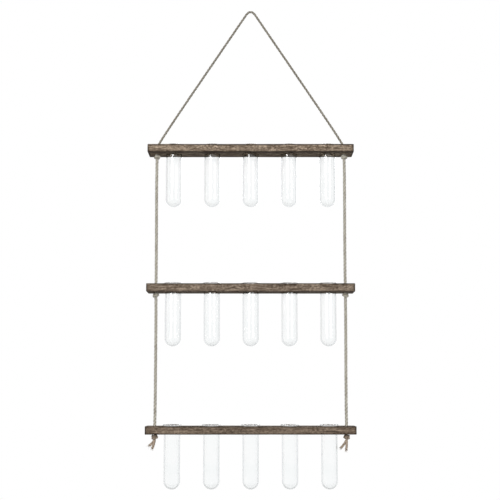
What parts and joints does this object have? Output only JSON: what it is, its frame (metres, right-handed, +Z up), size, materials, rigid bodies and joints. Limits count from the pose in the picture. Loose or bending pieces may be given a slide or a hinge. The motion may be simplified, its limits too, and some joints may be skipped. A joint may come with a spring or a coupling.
{
  "type": "propagation vase",
  "caption": "Hanging propagation vase: wooden bars with rows of clear glass test tubes, carried one below the other on a knotted jute rope that hangs from a hook.",
  "frame": {"origin": "inside of the rope's top bend, where the hook carries it", "axes": "+Z up, +X to the right along the bars, +Y towards the wall; the front faces -Y"},
  "size_m": [0.32, 0.042, 0.748],
  "materials": {
    "wood": "weathered grey-brown",
    "glass": "clear polished",
    "rope": "twisted jute"
  },
  "bodies": {
    "hanger": {"hanger_rope": "rope"},
    "top_tier": {"top_bar": "wood", "top_left_knot": "rope", "top_right_knot": "rope"},
    "middle_tier": {"middle_bar": "wood", "middle_left_knot": "rope", "middle_right_knot": "rope", "upper_left_rope": "rope", "upper_right_rope": "rope"},
    "bottom_tier": {"bottom_bar": "wood", "bottom_left_knot": "rope", "bottom_right_knot": "rope", "lower_left_rope": "rope", "lower_right_rope": "rope", "left_rope_end": "rope", "right_rope_end": "rope"},
    "top_tube_1": {"top_tube_1": "glass"},
    "top_tube_2": {"top_tube_2": "glass"},
    "top_tube_3": {"top_tube_3": "glass"},
    "top_tube_4": {"top_tube_4": "glass"},
    "top_tube_5": {"top_tube_5": "glass"},
    "middle_tube_1": {"middle_tube_1": "glass"},
    "middle_tube_2": {"middle_tube_2": "glass"},
    "middle_tube_3": {"middle_tube_3": "glass"},
    "middle_tube_4": {"middle_tube_4": "glass"},
    "middle_tube_5": {"middle_tube_5": "glass"},
    "bottom_tube_1": {"bottom_tube_1": "glass"},
    "bottom_tube_2": {"bottom_tube_2": "glass"},
    "bottom_tube_3": {"bottom_tube_3": "glass"},
    "bottom_tube_4": {"bottom_tube_4": "glass"},
    "bottom_tube_5": {"bottom_tube_5": "glass"}
  },
  "joints": [
    {"name": "top_swing", "type": "hinge", "parent": "hanger", "child": "top_tier", "pos_m": [0, 0, -0.2116], "axis": [-1, 0, 0], "range_deg": [-45, 45]},
    {"name": "top_tube_1_lift", "type": "slide", "parent": "top_tier", "child": "top_tube_1", "axis": [0, 0, 1], "range_m": [0, 0.012]},
    {"name": "top_tube_2_lift", "type": "slide", "parent": "top_tier", "child": "top_tube_2", "axis": [0, 0, 1], "range_m": [0, 0.097]},
    {"name": "top_tube_3_lift", "type": "slide", "parent": "top_tier", "child": "top_tube_3", "axis": [0, 0, 1], "range_m": [0, 0.097]},
    {"name": "top_tube_4_lift", "type": "slide", "parent": "top_tier", "child": "top_tube_4", "axis": [0, 0, 1], "range_m": [0, 0.097]},
    {"name": "top_tube_5_lift", "type": "slide", "parent": "top_tier", "child": "top_tube_5", "axis": [0, 0, 1], "range_m": [0, 0.012]},
    {"name": "middle_swing", "type": "hinge", "parent": "top_tier", "child": "middle_tier", "pos_m": [0, 0, -0.2373], "axis": [-1, 0, 0], "range_deg": [-45, 45]},
    {"name": "middle_tube_1_lift", "type": "slide", "parent": "middle_tier", "child": "middle_tube_1", "axis": [0, 0, 1], "range_m": [0, 0.097]},
    {"name": "middle_tube_2_lift", "type": "slide", "parent": "middle_tier", "child": "middle_tube_2", "axis": [0, 0, 1], "range_m": [0, 0.097]},
    {"name": "middle_tube_3_lift", "type": "slide", "parent": "middle_tier", "child": "middle_tube_3", "axis": [0, 0, 1], "range_m": [0, 0.097]},
    {"name": "middle_tube_4_lift", "type": "slide", "parent": "middle_tier", "child": "middle_tube_4", "axis": [0, 0, 1], "range_m": [0, 0.097]},
    {"name": "middle_tube_5_lift", "type": "slide", "parent": "middle_tier", "child": "middle_tube_5", "axis": [0, 0, 1], "range_m": [0, 0.097]},
    {"name": "bottom_swing", "type": "hinge", "parent": "middle_tier", "child": "bottom_tier", "pos_m": [0, 0, -0.4543], "axis": [-1, 0, 0], "range_deg": [-45, 45]},
    {"name": "bottom_tube_1_lift", "type": "slide", "parent": "bottom_tier", "child": "bottom_tube_1", "axis": [0, 0, 1], "range_m": [0, 0.097]},
    {"name": "bottom_tube_2_lift", "type": "slide", "parent": "bottom_tier", "child": "bottom_tube_2", "axis": [0, 0, 1], "range_m": [0, 0.097]},
    {"name": "bottom_tube_3_lift", "type": "slide", "parent": "bottom_tier", "child": "bottom_tube_3", "axis": [0, 0, 1], "range_m": [0, 0.097]},
    {"name": "bottom_tube_4_lift", "type": "slide", "parent": "bottom_tier", "child": "bottom_tube_4", "axis": [0, 0, 1], "range_m": [0, 0.097]},
    {"name": "bottom_tube_5_lift", "type": "slide", "parent": "bottom_tier", "child": "bottom_tube_5", "axis": [0, 0, 1], "range_m": [0, 0.097]}
  ]
}
